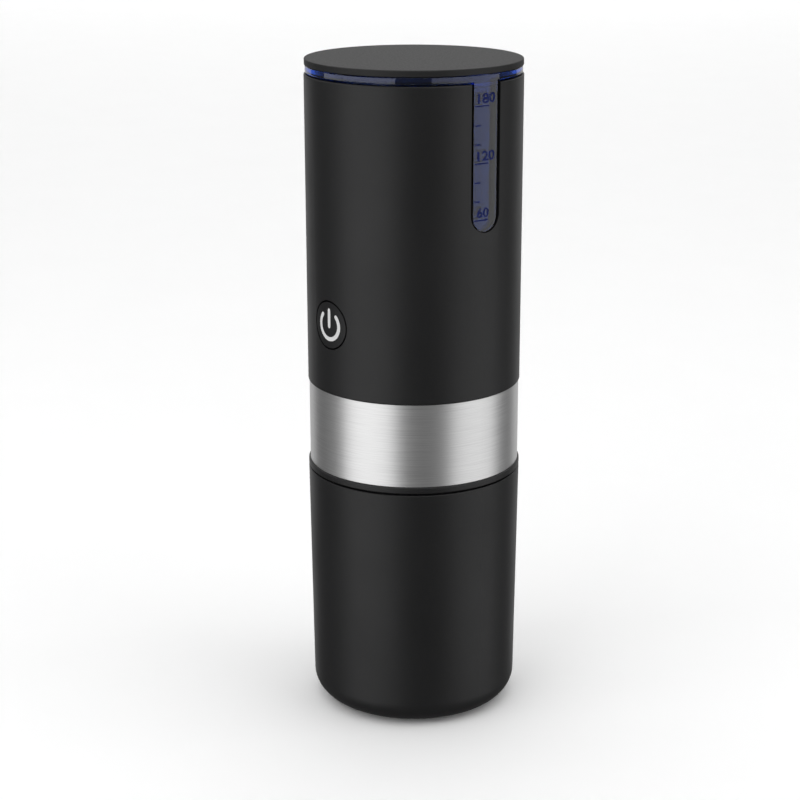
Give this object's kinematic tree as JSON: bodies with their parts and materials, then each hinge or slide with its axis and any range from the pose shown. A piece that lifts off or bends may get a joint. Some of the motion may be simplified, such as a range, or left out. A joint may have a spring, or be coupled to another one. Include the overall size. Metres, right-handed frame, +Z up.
{
  "type": "portable coffee machine",
  "caption": "Slim upright capsule coffee maker with a clear water window, flush power button, brushed steel band and a cup that forms its base.",
  "frame": {"origin": "centre of the rubber foot, on the surface that the cup stands on", "axes": "+Z up along the body, -Y towards the power button, +X towards the water window, +Y towards the charging port"},
  "size_m": [0.0724, 0.0724, 0.2232],
  "materials": {
    "black_plastic": "soft-touch black ABS, fine matt grain",
    "dark_plastic": "moulded dark grey polypropylene",
    "brushed_steel": "stainless, brushed around the band",
    "plain_steel": "plain steel",
    "clear_tank": "clear blue-tinted copolyester, polished",
    "rubber": "moulded rubber",
    "silicone": "translucent grey silicone",
    "light_guide": "white translucent light guide",
    "brass": "sintered bronze and cut brass",
    "nickel": "nickel strip",
    "copper": "enamelled copper wire and copper brushes",
    "board": "green glass-fibre board",
    "cell_can": "metal can in a blue sleeve",
    "magnet": "ferrite"
  },
  "bodies": {
    "cup": {"cup_shell": "black_plastic", "cup_liner": "dark_plastic", "foot_pad": "rubber"},
    "lid": {"lid": "black_plastic", "lid_plug": "dark_plastic", "lid_seal": "silicone", "lid_screws": "plain_steel"},
    "button": {"power_button": "black_plastic", "button_icon": "light_guide", "switch_plunger": "rubber"},
    "holder": {"capsule_holder": "dark_plastic", "outlet_plate": "plain_steel"},
    "rotor": {"motor_shaft": "plain_steel", "motor_armature": "plain_steel", "armature_windings": "copper", "drive_gear": "brass"},
    "idler": {"idler_shaft": "plain_steel", "idler_gear": "brass"},
    "port_cover": {"port_cover": "black_plastic"},
    "machine": {"base_collar": "black_plastic", "upper_shell": "black_plastic", "inner_frame": "dark_plastic", "brew_head": "dark_plastic", "pump_body": "dark_plastic", "pump_cover": "dark_plastic", "cradle_base": "dark_plastic", "cradle_top": "dark_plastic", "motor_endcap": "dark_plastic", "power_switch": "dark_plastic", "board_chips": "dark_plastic", "steel_band": "brushed_steel", "frame_screws": "plain_steel", "brew_head_screws": "plain_steel", "pump_screws": "plain_steel", "motor_screws": "plain_steel", "cradle_screws": "plain_steel", "tank_filter": "plain_steel", "piercing_plate": "plain_steel", "motor_can": "plain_steel", "charging_socket": "plain_steel", "water_tank": "clear_tank", "shaft_seal": "rubber", "cup_gasket": "silicone", "brew_seal": "silicone", "pump_outlet_seal": "silicone", "suction_hose": "silicone", "pump_bushes": "brass", "motor_bushes": "brass", "cell_contacts": "nickel", "motor_brushes": "copper", "control_board": "board", "switch_board": "board", "battery_cell_left": "cell_can", "battery_cell_right": "cell_can", "motor_magnets": "magnet"}
  },
  "joints": [
    {"name": "machine_lift", "type": "slide", "parent": "cup", "child": "machine", "axis": [0, 0, 1], "range_m": [0, 0.06]},
    {"name": "lid_lift", "type": "slide", "parent": "machine", "child": "lid", "axis": [0, 0, 1], "range_m": [0, 0.03]},
    {"name": "button_press", "type": "slide", "parent": "machine", "child": "button", "axis": [0, 1, 0], "range_m": [0, 0.0006], "stiffness_N_per_m": 1500},
    {"name": "holder_turn", "type": "hinge", "parent": "machine", "child": "holder", "pos_m": [0, 0, 0.0815], "axis": [0, 0, 1], "range_deg": [0, 60]},
    {"name": "rotor_spin", "type": "hinge", "parent": "machine", "child": "rotor", "pos_m": [0, 0, 0.112], "axis": [0, 0, 1], "continuous": true},
    {"name": "idler_spin", "type": "hinge", "parent": "machine", "child": "idler", "pos_m": [0, 0.012, 0.103], "axis": [0, 0, 1], "continuous": true},
    {"name": "port_cover_swing", "type": "hinge", "parent": "machine", "child": "port_cover", "pos_m": [-0.0072, 0.0342, 0.1391], "axis": [0, 0, 1], "range_deg": [0, 100]}
  ],
  "couplings": [
    {"joint": "idler_spin", "follows": "rotor_spin", "ratio": -1}
  ]
}
